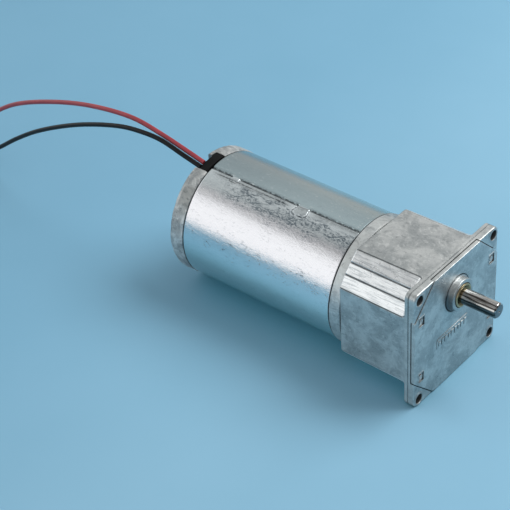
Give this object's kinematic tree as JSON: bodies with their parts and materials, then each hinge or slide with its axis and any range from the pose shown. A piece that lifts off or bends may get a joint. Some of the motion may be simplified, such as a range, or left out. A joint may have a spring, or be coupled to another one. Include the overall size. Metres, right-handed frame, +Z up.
{
  "type": "dc gearmotor",
  "caption": "Brushed DC gearmotor: round rolled-steel can, square die-cast gearbox with corner ears, offset output shaft and two flying leads.",
  "frame": {"origin": "centre of the square mounting face, on the motor's own axis", "axes": "+X out of the mounting face along the shafts, +Z up with the output shaft above the motor's axis, +Y completes the frame"},
  "size_m": [0.4075, 0.068, 0.0749],
  "materials": {
    "die_cast_zinc": "as-cast zinc alloy, dull blotchy grey with worn bright edges",
    "zinc_plated_steel": "bright zinc-plated sheet, slightly mottled",
    "bright_steel": "ground and turned steel",
    "bronze": "sintered bronze",
    "brass": "drawn brass sheet",
    "ferrite": "matt dark ceramic magnet",
    "lamination_steel": "stacked laminations, varnished",
    "copper": "enamelled copper wire and turned copper bars",
    "black_plastic": "moulded black plastic",
    "nylon": "natural nylon",
    "carbon": "carbon brush",
    "red_pvc": "soft red PVC insulation",
    "black_pvc": "soft black PVC insulation",
    "tinned_copper": "tinned strands"
  },
  "bodies": {
    "frame": {"gearbox_housing": "die_cast_zinc", "gearbox_cover": "die_cast_zinc", "cover_stake_1": "die_cast_zinc", "cover_stake_2": "die_cast_zinc", "cover_stake_3": "die_cast_zinc", "cover_stake_4": "die_cast_zinc", "output_bush_front": "bronze", "output_bush_rear": "bronze", "motor_front_bearing": "bronze", "motor_rear_bearing": "bronze", "idler_pin_1": "bright_steel", "idler_pin_2": "bright_steel", "idler_spacer_1": "bright_steel", "idler_spacer_2": "bright_steel", "idler_rear_spacer_2": "bright_steel", "motor_can": "zinc_plated_steel", "magnet_a": "ferrite", "magnet_b": "ferrite", "magnet_clip_a": "bright_steel", "magnet_clip_b": "bright_steel", "end_cap": "die_cast_zinc", "brush_plate": "black_plastic", "brush_box_a": "brass", "brush_box_b": "brass", "brush_spring_a": "bright_steel", "brush_spring_b": "bright_steel", "lead_grommet": "black_plastic", "tie_bolt_a": "bright_steel", "tie_bolt_b": "bright_steel", "lead_red": "red_pvc", "lead_black": "black_pvc", "lead_red_tinned_end": "tinned_copper", "lead_black_tinned_end": "tinned_copper"},
    "rotor": {"rotor_shaft": "bright_steel", "armature_core": "lamination_steel", "armature_winding": "copper", "commutator": "copper", "motor_pinion": "bright_steel", "rotor_front_washer": "nylon", "rotor_rear_washer": "nylon"},
    "idler_1": {"idler_gear_1": "nylon", "idler_pinion_1": "bright_steel"},
    "idler_2": {"idler_gear_2": "nylon", "idler_pinion_2": "bright_steel"},
    "output": {"output_shaft": "bright_steel", "output_gear": "bright_steel", "output_retaining_ring": "bright_steel", "output_thrust_washer": "bright_steel"},
    "brush_a_slider": {"brush_a": "carbon"},
    "brush_b_slider": {"brush_b": "carbon"}
  },
  "joints": [
    {"name": "rotor_spin", "type": "hinge", "parent": "frame", "child": "rotor", "pos_m": [-0.097, 0, 0], "axis": [1, 0, 0], "continuous": true},
    {"name": "idler_1_spin", "type": "hinge", "parent": "frame", "child": "idler_1", "pos_m": [-0.0381, 0.00752, -0.01541], "axis": [1, 0, 0], "continuous": true},
    {"name": "idler_2_spin", "type": "hinge", "parent": "frame", "child": "idler_2", "pos_m": [-0.022, 0.0142, 0.00258], "axis": [1, 0, 0], "continuous": true},
    {"name": "output_spin", "type": "hinge", "parent": "frame", "child": "output", "pos_m": [0, 0, 0.0152], "axis": [1, 0, 0], "continuous": true},
    {"name": "brush_a_slide", "type": "slide", "parent": "frame", "child": "brush_a_slider", "axis": [0, 0, 1], "range_m": [0, 0.0015], "stiffness_N_per_m": 150, "springref_m": -0.003, "deforming": ["brush_spring_a"]},
    {"name": "brush_b_slide", "type": "slide", "parent": "frame", "child": "brush_b_slider", "axis": [0, 0, -1], "range_m": [0, 0.0015], "stiffness_N_per_m": 150, "springref_m": -0.003, "deforming": ["brush_spring_b"]}
  ],
  "couplings": [
    {"joint": "idler_1_spin", "follows": "rotor_spin", "ratio": -0.25641},
    {"joint": "idler_2_spin", "follows": "rotor_spin", "ratio": 0.08547},
    {"joint": "output_spin", "follows": "rotor_spin", "ratio": -0.039448}
  ]
}
